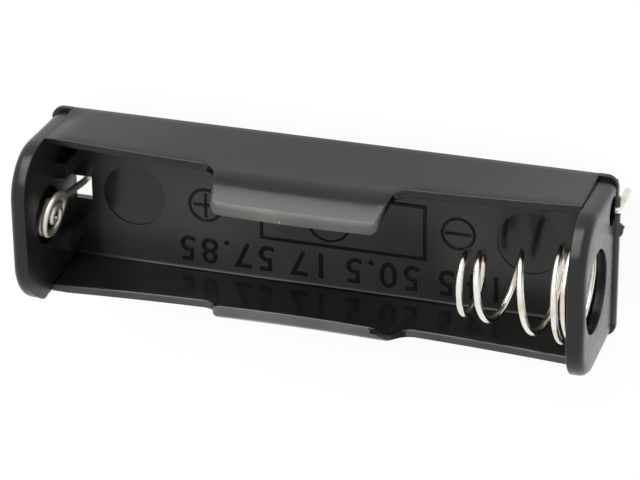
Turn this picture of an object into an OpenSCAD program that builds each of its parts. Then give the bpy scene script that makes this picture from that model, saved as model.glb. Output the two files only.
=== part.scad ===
// Cylindrical cell holder for one AA cell, soldered to a circuit board by its two wire contacts.
// The board face is Z = 0, the cell goes in from +Z, and the coiled negative contact is at +X.

/* [Case] */
// Length of the base over its end ledges
base_length = 57.4; // [57:0.1:59]
// Width of the base, and of the side walls at their foot
base_width = 16.9; // [16.9:0.1:18]
// Thickness of the floor
floor_thickness = 0.8; // [0.8:0.1:1.2]
// Thickness of the ledge that runs round the foot of the end walls
ledge_thickness = 0.55; // [0.4:0.05:0.7]
// Width of that ledge at each end
ledge_reach = 0.35; // [0.2:0.05:0.6]
// Height of the end walls above the board
end_height = 13.05; // [13:0.05:14]
// Thickness of the end walls
end_thickness = 1.65; // [1.6:0.05:2]
// Radius of the end walls' upper corners
end_corner = 5; // [4:0.1:6]

/* [Side walls and clips] */
// Height of the side walls' rims
rim_height = 7.45; // [7:0.05:8]
// How far each rim bows inwards halfway along
rim_bow = 0.77; // [0:0.01:1]
// Thickness of a side wall at its foot
foot_thickness = 1.15; // [1:0.05:1.4]
// Thickness of a side wall at its rim, and of its clip
rim_thickness = 0.85; // [0.7:0.05:1]
// Outer radius that a clip curls over to
clip_radius = 8; // [7.5:0.1:9]
// Height of the clips' tips
clip_height = 12.05; // [11:0.05:12.5]
// Half the length of a clip at its tip
clip_half_length = 8.42; // [6:0.01:12]

/* [Contacts] */
// Diameter of both contact wires
wire_d = 0.7; // [0.6:0.02:0.72]
// How far the two pins reach below the board face
pin_reach = 4.2; // [2.5:0.1:6]
// Radius of the hole behind the coiled contact
spring_hole_r = 4.02; // [3:0.01:4.1]
// Number of flats round each wire where it isn't a pin
wire_sides = 8; // [6:1:12]

/* [Hidden] */

overlap = 0.4;
base_half = base_length / 2;
half_width = base_width / 2;
end_outer = base_half - ledge_reach;
end_inner = end_outer - end_thickness;
end_draft = 0.22;
end_foot_half = half_width - 0.45;
end_top_half = half_width - 0.18;
end_corner_z = end_height - end_corner;
end_chamfer = 0.5;

// Profile of a side wall: a straight flank, then the arc of a clip
flank_height = 7.5;
clip_arc = 46;
arc_steps = 8;
wall_steps = 12;
wall_half = end_inner - 0.1;
tab_lean = 0.28;
tab_fillet = 2.15;
tab_corner = 1;

// Seats for the wires in the end walls
seat_z = 7.88;
seat_r = 4.98;
seat_depth = 0.8;
button_y = 0.1;
button_z = 7.6;
button_seat_r = 2.9;
button_seat_depth = 0.72;
square_hole = [1.93, 2.44];
square_hole_x = -end_inner + 0.1;
square_hole_y = 0.14;
post_y = 3.9;
post_size = [1.25, 1.6, 5.4];
ledge_corner = 1.2;
ledge_step = [28.5, 6.4];
gate_nub = [[-0.2, 2.2], [0.15, 2.27], [0.33, 2.6], [0.28, 2.85], [0.45, 3.15], [0.02, 3.5], [-0.2, 3.5]];
coil_seat_r = 4.6;
tail_z = seat_z - coil_seat_r;
dimples = [[-20.15, 0], [20.15, 0.45]];
dimple_r = 3.25;
dimple_depth = 0.12;

// Wires
wire_r = wire_d / 2;
pin_r = wire_r + 0.01;
steps_per_turn = 24;
// The button stands a little askew: its turn leans +Y forward, its nod leans +Z back
button_x = -25.95;
button_r = 2.1;
hub_r = 0.42;
button_turn = 0.15;
button_nod = 0.1;
button_start = -140;
pin_top = -0.3;
seat_x = end_inner + seat_depth - wire_r - 0.03;
pin_slot = 0.86;
pin_slot_top = 0.75;
window_foot = 1.08;
negative_pin = [28.4, 4.9];
positive_pin = [-25.4, 0.85];

// Rows of the button contact from its middle outwards, four for each turn: radius and distance back
button_rows = [
    [hub_r, 0],
    [0.6, 0],
    [0.8, 0],
    [1, 0],
    [1.25, 0],
    [1.95, 0],
    [button_r, 0],
    [button_r, 0],
    [button_r, 0.43],
    [1.76, 0.76],
    [1.41, 0.48],
    [1.3, 1],
];

// Rows of the coiled contact, one for each turn: X, radius and how far its middle sags across the case
coil_rows = [
    [15.95, 3.0, -0.8],
    [17.8, 3.2, -0.8],
    [22.2, 3.9, -0.6],
    [25.45, coil_seat_r, -0.45],
    [26.33, coil_seat_r, 0],
    [seat_x + 0.68, coil_seat_r, 0],
];

// How far a side wall's rim bows inwards at x
function bow(x) = rim_bow * max(0, 1 - pow(x / end_inner, 2));

// Point on a side wall's section at x: along is the way up its outer profile, depth the way in from it
function wall_point(x, along, depth) =
    let (lean = atan2(bow(x), flank_height), flank = flank_height / cos(lean))
    let (turned = lean + max(0, along - flank) / clip_radius * 180 / PI)
    let (up = min(along, flank))
    [
        x,
        half_width - up * sin(lean) - clip_radius * cos(lean) + (clip_radius - depth) * cos(turned),
        up * cos(lean) - clip_radius * sin(lean) + (clip_radius - depth) * sin(turned),
    ];

// Closed section of a side wall at x, up its outside and down its inside
function wall_section(x) =
    let (flank = flank_height / cos(atan2(bow(x), flank_height)))
    let (arc = clip_radius * clip_arc * PI / 180)
    let (rows = concat([0], [for (i = [0:arc_steps]) flank + arc * i / arc_steps]))
    concat(
        [for (s = rows) wall_point(x, s, 0)],
        [for (i = [len(rows) - 1:-1:0]) wall_point(x, rows[i], i == 0 ? foot_thickness : rim_thickness)]
    );

// Points of an arc from angle a to angle b
function arc_points(centre, r, a, b, steps = 8) =
    [for (i = [0:steps]) centre + r * [cos(a + (b - a) * i / steps), sin(a + (b - a) * i / steps)]];

// Smooth curve through rows that stand one step apart
function smooth(rows, t) =
    let (i = min(max(floor(t), 0), len(rows) - 2), u = t - i)
    let (a = rows[max(i - 1, 0)], b = rows[i], c = rows[i + 1], d = rows[min(i + 2, len(rows) - 1)])
    b + u * (c - a) / 2 + u * u * (a - 2.5 * b + 2 * c - d / 2)
        + u * u * u * (1.5 * (b - c) + (d - a) / 2);

function unit(v) = v / norm(v);

// Points of a bend that turns round a corner in n steps
function bend(before, corner, after, n = 5) =
    [for (i = [0:n]) let (u = i / n) (1 - u) * (1 - u) * before + 2 * u * (1 - u) * corner + u * u * after];

// Ring of a wire round one point of its path; the flats keep their places because they start from X
function wire_ring(path, i) =
    let (along = unit(path[min(i + 1, len(path) - 1)] - path[max(i - 1, 0)]))
    let (side = unit([1, 0, 0] - along[0] * along))
    let (other = cross(along, side))
    [for (k = [0:wire_sides - 1])
        path[i] + wire_r * (cos(360 * k / wire_sides) * side + sin(360 * k / wire_sides) * other)];

// Solid through closed sections that all have the same even number of points
module loft(sections) {
    n = len(sections[0]);
    last = (len(sections) - 1) * n;
    polyhedron(
        points = [for (section = sections) each section],
        faces = concat(
            [for (k = [0:n / 2 - 2]) [k, k + 1, n - 2 - k, n - 1 - k]],
            [for (i = [0:len(sections) - 2], k = [0:n - 1])
                let (a = i * n + k, b = i * n + (k + 1) % n)
                each [[a, a + n, b], [b, a + n, b + n]]],
            [for (k = [0:n / 2 - 2]) [last + n - 1 - k, last + n - 2 - k, last + k + 1, last + k]]
        ),
        convexity = 6
    );
}

// Side view of one side wall: the rim line, and the tab of its clip with filleted roots
module wall_outline() {
    root = clip_half_length + tab_lean;
    right = concat(
        [[wall_half, 0], [wall_half, rim_height]],
        arc_points([root + tab_fillet, rim_height + tab_fillet], tab_fillet, 270, 180),
        arc_points([clip_half_length - tab_corner, clip_height - tab_corner], tab_corner, 0, 90)
    );
    left = [for (i = [len(right) - 1:-1:0]) [-right[i][0], right[i][1]]];
    polygon(concat(right, left));
}

// Side wall at +Y: bowed flank and curled clip, cut to their side view
module side_wall() {
    intersection() {
        loft([for (i = [0:wall_steps]) wall_section(wall_half * (2 * i / wall_steps - 1))]);
        rotate([90, 0, 0]) linear_extrude(3 * base_width, center = true) wall_outline();
    }
}

// Outline of an end wall: it widens a little upwards and has large round upper corners
module end_outline() {
    corner_y = end_top_half - end_corner;
    polygon([
        [-end_foot_half, 0],
        [end_foot_half, 0],
        [end_top_half, end_corner_z],
        [-end_top_half, end_corner_z],
    ]);
    for (side = [-1, 1]) translate([side * corner_y, end_corner_z]) circle(r = end_corner, $fn = 96);
    translate([-corner_y, end_corner_z - 1]) square([2 * corner_y, end_corner + 1]);
}

// End wall at +X: its outer edge is chamfered, and its inner face has a moulding draft
module end_wall() {
    intersection() {
        rotate([90, 0, 90]) {
            translate([0, 0, end_inner - 1]) linear_extrude(end_thickness + 1 - end_chamfer) end_outline();
            hull() {
                translate([0, 0, end_outer - end_chamfer - 0.1]) linear_extrude(0.1) end_outline();
                translate([0, 0, end_outer - 0.01]) linear_extrude(0.01)
                    offset(delta = -0.8 * end_chamfer) end_outline();
            }
        }
        rotate([90, 0, 0]) linear_extrude(2 * base_width, center = true)
            polygon([
                [end_inner - end_draft, 0],
                [end_outer, 0],
                [end_outer, end_height + 1],
                [end_inner, end_height + 1],
            ]);
    }
}

// Mirror image across the middle of the length, or across the width, when side is -1
module flip(side, normal) {
    mirror(side < 0 ? normal : [0, 0, 0]) children();
}

// Floor with the ledges at both ends; the side walls form its long edges
module base() {
    ledge_length = base_half - end_inner + end_draft;
    translate([-wall_half, -half_width + overlap, 0])
        cube([2 * wall_half, base_width - 2 * overlap, floor_thickness]);
    for (side = [-1, 1]) flip(side, [1, 0, 0]) linear_extrude(ledge_thickness) {
        translate([base_half - ledge_length, -half_width])
            square([ledge_length - ledge_corner, base_width]);
        translate([base_half - ledge_length, -half_width + ledge_corner])
            square([ledge_length, base_width - 2 * ledge_corner]);
        for (y = [-1, 1])
            translate([base_half - ledge_corner, y * (half_width - ledge_corner)])
                circle(r = ledge_corner, $fn = 48);
    }
}

// Small moulded details: the posts beside the button, and the two nubs
module small_details() {
    for (side = [-1, 1])
        translate([-end_inner - overlap, side * post_y - post_size[1] / 2, 0])
            cube([post_size[0] + overlap, post_size[1], post_size[2]]);
    translate([base_half, 0, 0]) linear_extrude(ledge_thickness - 0.1)
        polygon(gate_nub);
    translate([-end_inner - 0.35, -7.55, 8.85]) rotate([0, 90, 0]) cylinder(h = 0.7, r = 0.95, center = true);
}

// Everything that is cut out of the end wall behind the coiled contact
module spring_end_cuts() {
    translate([end_inner - 1, 0, seat_z]) rotate([0, 90, 0]) {
        cylinder(h = end_thickness + 2, r = spring_hole_r, $fn = 96);
        cylinder(h = seat_depth + 1, r = seat_r, $fn = 96);
    }
    // groove for the tail that runs along the foot of the seat, and the half-round window beyond it
    translate([end_inner - 1, 0, tail_z - 0.85]) cube([seat_depth + 1, negative_pin[1] + 0.5, 1.3]);
    intersection() {
        translate([end_inner - 1, 5.55, 1.9]) rotate([0, 90, 0]) cylinder(h = end_thickness + 2, r = 1.45);
        translate([end_inner - 1, 0, window_foot]) cube([end_thickness + 2, half_width, 4]);
    }
    // drop from the groove, and the slot from it to the ledge's edge, open below
    translate([end_inner, negative_pin[1] - pin_slot / 2, -1]) {
        cube([pin_slot + 0.1, pin_slot, 3]);
        cube([3, pin_slot, 1 + pin_slot_top]);
    }
    // the ledge is a little shorter at the corner beside the pin
    translate([0, 0, -1]) linear_extrude(ledge_thickness + 1)
        polygon(concat(
            [[base_half, ledge_step[1] - 0.3]],
            arc_points([ledge_step[0] - ledge_corner, half_width - ledge_corner], ledge_corner, 0, 90),
            [[ledge_step[0] - ledge_corner, half_width + 1], [base_half, half_width + 1]]
        ));
}

// Everything that is cut out of the other end: the button's seat and the square hole for its pin
module button_end_cuts() {
    translate([-end_inner + 1, button_y, button_z]) rotate([0, -90, 0])
        cylinder(h = button_seat_depth + 1, r = button_seat_r, $fn = 64);
    translate([square_hole_x, square_hole_y - square_hole[1] / 2, -1])
        cube([square_hole[0], square_hole[1], 3]);
}

module case() color([0.13, 0.13, 0.14]) difference() {
    union() {
        base();
        for (side = [-1, 1]) {
            flip(side, [1, 0, 0]) end_wall();
            flip(side, [0, 1, 0]) side_wall();
        }
        small_details();
    }
    spring_end_cuts();
    button_end_cuts();
    for (place = dimples)
        translate([place[0], place[1], floor_thickness - dimple_depth])
            cylinder(h = 1, r = dimple_r, $fn = 64);
}

// Wire along a path, and its straight pin through the board
module contact(path, pin) {
    loft([for (i = [0:len(path) - 1]) wire_ring(path, i)]);
    translate([pin[0], pin[1], -pin_reach]) cylinder(h = pin_reach + pin_top, r = pin_r, $fn = 32);
}

// Point of the button's spiral after t turns
function button_point(t) =
    let (a = 360 * t + button_start, row = smooth(button_rows, 4 * t), r = row[0])
    [
        button_x - row[1] + button_turn * r * sin(a) - button_nod * r * cos(a),
        button_y + r * sin(a),
        button_z + r * cos(a),
    ];

// Flat spiral button, one turn behind it in the seat, and the tail down through the square hole
module positive_contact() color([0.8, 0.78, 0.72]) {
    spiral = [for (i = [0:(len(button_rows) - 1) * steps_per_turn / 4]) button_point(i / steps_per_turn)];
    foot = [positive_pin[0], positive_pin[1], 0.6];
    knee = [button_x - 0.16, positive_pin[1], 4.9];
    path = concat(
        spiral,
        bend(spiral[len(spiral) - 1] + [-0.12, -0.17, -0.49], [button_x - 0.72, positive_pin[1], 5.5], knee),
        [knee + (foot - knee) / 2],
        bend(foot + [-0.05, 0, 0.5], foot, foot - [0, 0, 1.2], 3)
    );
    contact(path, positive_pin);
}

// Coil that widens towards its seat in the end wall, and the tail across the seat and down through the floor
module negative_spring() color([0.82, 0.8, 0.74]) {
    coil = [for (i = [-7:4.5 * steps_per_turn])
        let (t = i / steps_per_turn, row = smooth(coil_rows, t))
        [row[0], row[2] - row[1] * sin(360 * t), seat_z + row[1] * cos(360 * t)]];
    end = coil[len(coil) - 1];
    y = negative_pin[1];
    path = concat(
        coil,
        [[seat_x, y / 3, end[2]]],
        bend([seat_x, y - 1.1, end[2]], [seat_x, y, end[2]], [seat_x, y, end[2] - 1.1], 4),
        bend([seat_x, y, 1.05], [seat_x, y, 0.36], [(seat_x + negative_pin[0]) / 2, y, 0.36], 4),
        bend([negative_pin[0] - 0.3, y, 0.1], [negative_pin[0], y, -0.1], [negative_pin[0], y, -0.6], 3)
    );
    contact(path, negative_pin);
}

case();
positive_contact();
negative_spring();
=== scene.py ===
"""Cylindrical cell holder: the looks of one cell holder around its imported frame.

Sizes are in metres, in the frame's own axes: +X towards the coiled contact, +Y across, +Z out of the board.
"""

import logging
import math
from collections.abc import Callable, Sequence
from dataclasses import dataclass, field, replace
from enum import Enum

import bmesh
import bpy
from bmesh.types import BMesh, BMVert
from bpy.types import ID, GeometryNodeTree, Material, Mesh, Node, Object
from mathutils import Matrix, Quaternion, Vector
from mathutils.geometry import delaunay_2d_cdt

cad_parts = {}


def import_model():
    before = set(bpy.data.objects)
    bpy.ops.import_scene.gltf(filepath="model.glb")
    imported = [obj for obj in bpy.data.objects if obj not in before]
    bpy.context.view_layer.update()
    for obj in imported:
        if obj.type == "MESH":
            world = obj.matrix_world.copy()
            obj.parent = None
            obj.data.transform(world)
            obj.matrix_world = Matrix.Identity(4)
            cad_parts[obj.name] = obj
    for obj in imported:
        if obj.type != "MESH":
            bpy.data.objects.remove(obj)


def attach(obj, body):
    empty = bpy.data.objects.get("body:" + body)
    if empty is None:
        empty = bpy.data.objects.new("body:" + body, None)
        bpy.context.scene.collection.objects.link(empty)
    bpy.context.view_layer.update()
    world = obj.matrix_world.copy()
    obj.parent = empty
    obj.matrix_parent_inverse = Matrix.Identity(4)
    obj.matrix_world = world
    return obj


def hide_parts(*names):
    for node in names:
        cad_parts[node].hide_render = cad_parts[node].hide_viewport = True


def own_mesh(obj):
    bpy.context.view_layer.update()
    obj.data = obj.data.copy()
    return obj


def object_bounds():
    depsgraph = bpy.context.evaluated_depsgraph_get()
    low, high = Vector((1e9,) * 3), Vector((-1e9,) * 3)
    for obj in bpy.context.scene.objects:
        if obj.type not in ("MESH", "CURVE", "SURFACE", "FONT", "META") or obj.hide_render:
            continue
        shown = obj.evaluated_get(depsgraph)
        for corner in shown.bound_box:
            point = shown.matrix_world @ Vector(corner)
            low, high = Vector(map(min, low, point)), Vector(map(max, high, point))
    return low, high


log = logging.getLogger("cell_holder")

MM = 0.001
BLACK, SOFT_BLACK = (0.003, 0.003, 0.0028), (0.007, 0.007, 0.0065)
Point2 = tuple[float, float]
Box2 = tuple[float, float, float, float]
Colour = tuple[float, float, float]
Socket = tuple[Node, str | int]
Placer = Callable[[float, float, float], Vector]


class Side(Enum):
    """One of the two ends or two long sides of the holder."""

    PLUS = 1
    MINUS = -1


# ---- outlines


def arc(centre: Point2, radius: float, start: float, stop: float, steps: int = 10) -> list[Point2]:
    """Points of an arc.

    Args:
        centre: Middle of the arc.
        radius: Radius of the arc.
        start: First angle, in degrees.
        stop: Last angle, in degrees.
        steps: Number of chords.

    Returns:
        The points from the first angle to the last, both included.
    """
    turns = [math.radians(start + (stop - start) * i / steps) for i in range(steps + 1)]
    return [(centre[0] + radius * math.cos(a), centre[1] + radius * math.sin(a)) for a in turns]


def circle(centre: Point2, radius: float, steps: int = 64) -> list[Point2]:
    """Closed ring of points round a centre."""
    return arc(centre, radius, 0, 360 * (steps - 1) / steps, steps - 1)


def resample(loop: Sequence[Point2], spacing: float) -> list[Point2]:
    """Adds points along the long edges of a closed loop.

    Args:
        loop: Closed loop of points.
        spacing: Longest edge that stays whole.

    Returns:
        The loop with its corners kept and its long edges divided evenly.
    """
    points = []
    for i, (ax, ay) in enumerate(loop):
        bx, by = loop[(i + 1) % len(loop)]
        count = max(1, math.ceil(math.hypot(bx - ax, by - ay) / spacing))
        points += [(ax + (bx - ax) * k / count, ay + (by - ay) * k / count) for k in range(count)]
    return points


def inset(loop: Sequence[Point2], amount: float) -> list[Point2]:
    """Moves each point of a closed loop towards the loop's left-hand side.

    Args:
        loop: Closed loop; its solid side lies on the left.
        amount: Distance to move each edge.

    Returns:
        The moved loop, point for point.
    """
    moved = []
    for i, (x, y) in enumerate(loop):
        before, after = loop[i - 1], loop[(i + 1) % len(loop)]
        first = Vector((x - before[0], y - before[1])).normalized()
        second = Vector((after[0] - x, after[1] - y)).normalized()
        normal = Vector((-first.y - second.y, first.x + second.x)).normalized()
        reach = amount / max(0.35, normal.dot(Vector((-first.y, first.x))))
        moved.append((x + normal.x * reach, y + normal.y * reach))
    return moved


def area_of(loop: Sequence[Point2]) -> float:
    """Signed area of a closed loop, positive when it runs anticlockwise."""
    return sum(a[0] * b[1] - b[0] * a[1] for a, b in zip(loop, [*loop[1:], loop[0]])) / 2


# ---- meshes


@dataclass
class RoundedPlate:
    """A plate with rounded edges, bent into its place by a function.

    The outline and the holes are drawn flat. The placer then puts each point in space, from its two flat
    coordinates and its depth: 0 is the outer skin and 1 the inner skin. The share scales the outer
    rounding from place to place.
    """

    outline: list[Point2]
    thickness: float
    place: Placer
    outer_round: float
    inner_round: float
    holes: list[list[Point2]] = field(default_factory=list)
    hole_round: float = 0.1 * MM
    spacing: float = 0.8 * MM
    round_steps: int = 4
    share: Callable[[Point2], float] = lambda p: 1.0

    def _rim(self, loop: Sequence[Point2], outer: float, inner: float) -> list[list[tuple[Point2, float]]]:
        """Loops over a rounded rim, from the outer skin's edge to the inner skin's edge.

        Args:
            loop: Outline or hole that the rim follows.
            outer: Rounding at the outer skin.
            inner: Rounding at the inner skin.

        Returns:
            Rows of flat points, each with its depth.
        """
        rows = []
        turns = [math.pi / 2 * i / self.round_steps for i in range(self.round_steps + 1)]
        for a in turns:
            flat = inset(loop, outer)
            row = []
            for p, q in zip(loop, flat):
                move, share = self.share(p) * (1 - math.sin(a)), self.share(p)
                depth = share * outer * (1 - math.cos(a)) / self.thickness
                row.append(((p[0] + (q[0] - p[0]) * move, p[1] + (q[1] - p[1]) * move), depth))
            rows.append(row)
        for a in reversed(turns):
            flat = inset(loop, inner * (1 - math.sin(a)))
            rows.append([(p, 1 - inner * (1 - math.cos(a)) / self.thickness) for p in flat])
        return rows

    def _skin(self, loops: Sequence[Sequence[Point2]]) -> tuple[list[Point2], list[list[int]]]:
        """Triangles that fill flat loops, with a grid of points inside for plates that bend.

        Args:
            loops: Edge of the skin, then the edges of its holes.

        Returns:
            The loops' points followed by the grid's, and the faces between them.
        """
        points = [p for loop in loops for p in loop]
        edges, start = [], 0
        for loop in loops:
            edges += [(start + i, start + (i + 1) % len(loop)) for i in range(len(loop))]
            start += len(loop)
        xs, ys = [p[0] for p in loops[0]], [p[1] for p in loops[0]]
        grid = []
        columns = math.ceil((max(xs) - min(xs)) / self.spacing)
        rows = math.ceil((max(ys) - min(ys)) / self.spacing)
        for i in range(1, columns):
            for j in range(1, rows):
                p = (min(xs) + (max(xs) - min(xs)) * i / columns, min(ys) + (max(ys) - min(ys)) * j / rows)
                if self._inside(p, loops) and self._clearance(p, points) > self.spacing * 0.45:
                    grid.append(p)
        vectors = [Vector(p) for p in points + grid]
        out, _, faces, _, _, _ = delaunay_2d_cdt(vectors, edges, [], 2, 1e-9)
        if len(out) != len(vectors):
            log.warning("a skin changed from %d to %d points", len(vectors), len(out))
        kept = []
        for face in faces:
            middle = sum((out[k] for k in face), Vector((0, 0))) / len(face)
            if self._inside((middle.x, middle.y), loops):
                kept.append(list(face))
        return [(v.x, v.y) for v in out], kept

    @staticmethod
    def _clearance(p: Point2, points: Sequence[Point2]) -> float:
        """Distance from a point to the nearest of the others."""
        return min(math.hypot(p[0] - q[0], p[1] - q[1]) for q in points)

    @staticmethod
    def _inside(p: Point2, loops: Sequence[Sequence[Point2]]) -> bool:
        """Whether a point lies within an odd number of closed loops.

        Args:
            p: Point to test.
            loops: Closed loops.

        Returns:
            True within the outline and outside its holes.
        """
        odd = False
        for loop in loops:
            for i, (ax, ay) in enumerate(loop):
                bx, by = loop[i - 1]
                if (ay > p[1]) != (by > p[1]) and p[0] < (bx - ax) * (p[1] - ay) / (by - ay) + ax:
                    odd = not odd
        return odd

    def add_to(self, mesh: BMesh) -> None:
        """Builds the plate's closed skin in a mesh.

        Args:
            mesh: Mesh that the skin is added to.
        """
        loops = [self.outline if area_of(self.outline) > 0 else self.outline[::-1]]
        loops += [hole if area_of(hole) < 0 else hole[::-1] for hole in self.holes]
        rims = [self._rim(resample(loops[0], self.spacing), self.outer_round, self.inner_round)]
        rims += [self._rim(loop, self.hole_round, self.hole_round) for loop in loops[1:]]
        placed: list[list[list[BMVert]]] = []
        for rim in rims:
            placed.append([[mesh.verts.new(self.place(p[0], p[1], d)) for p, d in row] for row in rim])
        for rows in placed:
            for upper, lower in zip(rows, rows[1:]):
                for i in range(len(upper)):
                    j = (i + 1) % len(upper)
                    mesh.faces.new((upper[j], upper[i], lower[i], lower[j]))
        for end, depth in ((0, 0.0), (-1, 1.0)):
            flat = [[p for p, _ in rim[end]] for rim in rims]
            edge = [v for rows in placed for v in rows[end]]
            points, faces = self._skin(flat)
            verts = edge + [mesh.verts.new(self.place(p[0], p[1], depth)) for p in points[len(edge):]]
            for face in faces:
                ring = [verts[k] for k in face]
                mesh.faces.new(ring if end else ring[::-1])


def new_object(name: str, data: ID) -> Object:
    """Puts a mesh, text, camera or lamp in the scene."""
    piece = bpy.data.objects.new(name, data)
    bpy.context.scene.collection.objects.link(piece)
    return piece


def finish_mesh(mesh: BMesh, name: str) -> Object:
    """Turns a bmesh into an object in the scene.

    Args:
        mesh: Geometry to use; it is freed.
        name: Name of the new object.

    Returns:
        The new object, at the world origin.
    """
    bmesh.ops.remove_doubles(mesh, verts=mesh.verts, dist=1e-7)
    bmesh.ops.recalc_face_normals(mesh, faces=mesh.faces)
    data = bpy.data.meshes.new(name)
    mesh.to_mesh(data)
    mesh.free()
    return new_object(name, data)


def solid_of(piece: Object) -> Mesh:
    """Plain mesh of what an object's text or modifiers make."""
    bpy.context.view_layer.update()
    return bpy.data.meshes.new_from_object(piece.evaluated_get(bpy.context.evaluated_depsgraph_get()))


def prism(outline: Sequence[Point2], low: float, high: float, place: Placer, name: str) -> Object:
    """Straight solid over an outline.

    Args:
        outline: Closed outline.
        low: First depth handed to the placer.
        high: Last depth handed to the placer.
        place: Puts each flat point and depth in space.
        name: Name of the new object.

    Returns:
        A closed object.
    """
    mesh = bmesh.new()
    ends = [[mesh.verts.new(place(x, y, d)) for x, y in outline] for d in (low, high)]
    mesh.faces.new(ends[0])
    mesh.faces.new(ends[1][::-1])
    for i in range(len(outline)):
        j = (i + 1) % len(outline)
        mesh.faces.new((ends[0][i], ends[1][i], ends[1][j], ends[0][j]))
    return finish_mesh(mesh, name)


def box(xs: Point2, ys: Point2) -> list[Point2]:
    """Corners of a rectangle from its two ranges."""
    return [(xs[0], ys[0]), (xs[1], ys[0]), (xs[1], ys[1]), (xs[0], ys[1])]


def along_x(y: float, z: float, x: float) -> Vector:
    """Puts an outline drawn in Y and Z at a place along X."""
    return Vector((x, y, z))


def along_z(x: float, y: float, z: float) -> Vector:
    """Puts an outline drawn in X and Y at a height."""
    return Vector((x, y, z))


def combine(target: Object, others: Sequence[Object], operation: str) -> None:
    """Adds other closed solids to one, or cuts them out of it, and deletes them.

    Args:
        target: Solid that is changed.
        others: Solids that are used up.
        operation: "UNION" or "DIFFERENCE".
    """
    for other in others:
        step = target.modifiers.new("combine", "BOOLEAN")
        step.operation = operation
        step.solver = "MANIFOLD"
        step.object = other
        with bpy.context.temp_override(object=target, active_object=target):
            bpy.ops.object.modifier_apply(modifier=step.name)
        bpy.data.objects.remove(other)


# ---- finishes


class Nodes:
    """Short way to add and join the nodes of one material."""

    def __init__(self, name: str) -> None:
        """Makes an empty material with an output and a Principled shader.

        Args:
            name: Name of the material.
        """
        self.material = bpy.data.materials.new(name)
        self.material.use_nodes = True
        self.tree = self.material.node_tree
        self.tree.nodes.clear()
        self.output = self.tree.nodes.new("ShaderNodeOutputMaterial")
        self.shader = self.tree.nodes.new("ShaderNodeBsdfPrincipled")
        self.join(self.shader, "BSDF", self.output, "Surface")

    def add(self, kind: str, **settings: object) -> Node:
        """Adds a node.

        Args:
            kind: Node type without its "ShaderNode" prefix.
            settings: Properties, or values of inputs whose names have spaces as underscores.

        Returns:
            The new node.
        """
        node = self.tree.nodes.new("ShaderNode" + kind)
        for key, value in settings.items():
            if hasattr(node, key):
                setattr(node, key, value)
            else:
                node.inputs[key.replace("_", " ")].default_value = value
        return node

    def join(self, source: Node, out: str | int, target: Node, into: str | int) -> None:
        """Links one node's output to another node's input."""
        self.tree.links.new(source.outputs[out], target.inputs[into])

    def texture(self, kind: str, where: Node, out: str, **settings: float) -> Node:
        """Adds a texture that is read at another node's coordinates.

        Args:
            kind: Texture type without its "ShaderNodeTex" prefix.
            where: Node that gives the coordinates.
            out: Output of that node.
            settings: Values of the texture's inputs.

        Returns:
            The texture node.
        """
        node = self.add("Tex" + kind, **settings)
        self.join(where, out, node, "Vector")
        return node

    def gloss(self, source: Node, roughness: tuple[float, float]) -> Node:
        """Adds a ramp that turns a noise into a roughness between two values."""
        low, high = roughness
        return self.ramp(source, "Fac", (0.35, (low,) * 3), (0.7, (high,) * 3))

    def bump(self, height: Node, strength: float, distance: float, under: Node | None = None) -> Node:
        """Adds a bump.

        Args:
            height: Noise that gives the height.
            strength: Strength of the bump.
            distance: Height of the bump.
            under: Bump that this one lies on.

        Returns:
            The bump node.
        """
        node = self.add("Bump", Strength=strength, Distance=distance)
        self.join(height, "Fac", node, "Height")
        if under:
            self.join(under, "Normal", node, "Normal")
        return node

    def blend(self, share: Socket, source: Socket, value: Colour) -> Socket:
        """Mixes a plain colour into an output.

        Args:
            share: Node and output that carry the colour's share.
            source: Node and output that are mixed into.
            value: The colour.

        Returns:
            Node and output that carry the mix.
        """
        mix = self.add("Mix", data_type="RGBA")
        self.join(*share, mix, "Factor")
        self.join(*source, mix, 6)
        mix.inputs[7].default_value = (*value, 1)
        return mix, 2

    def ramp(self, source: Node, out: str | int, *stops: tuple[float, Sequence[float]]) -> Node:
        """Adds a colour ramp.

        Args:
            source: Node that drives the ramp.
            out: Output of that node.
            stops: Place and colour of each stop.

        Returns:
            The ramp node.
        """
        node = self.add("ValToRGB")
        elements = node.color_ramp.elements
        while len(elements) < len(stops):
            elements.new(0.5)
        for element, (place, colour) in zip(elements, stops):
            element.position = place
            element.color = (*colour, 1) if len(colour) == 3 else colour
        self.join(source, out, node, "Fac")
        return node


@dataclass(frozen=True)
class Fade:
    """Another tone and polish that a plastic takes on along one axis."""

    axis: str
    stops: tuple[tuple[float, float], ...]
    tone: Colour
    roughness: float


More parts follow.
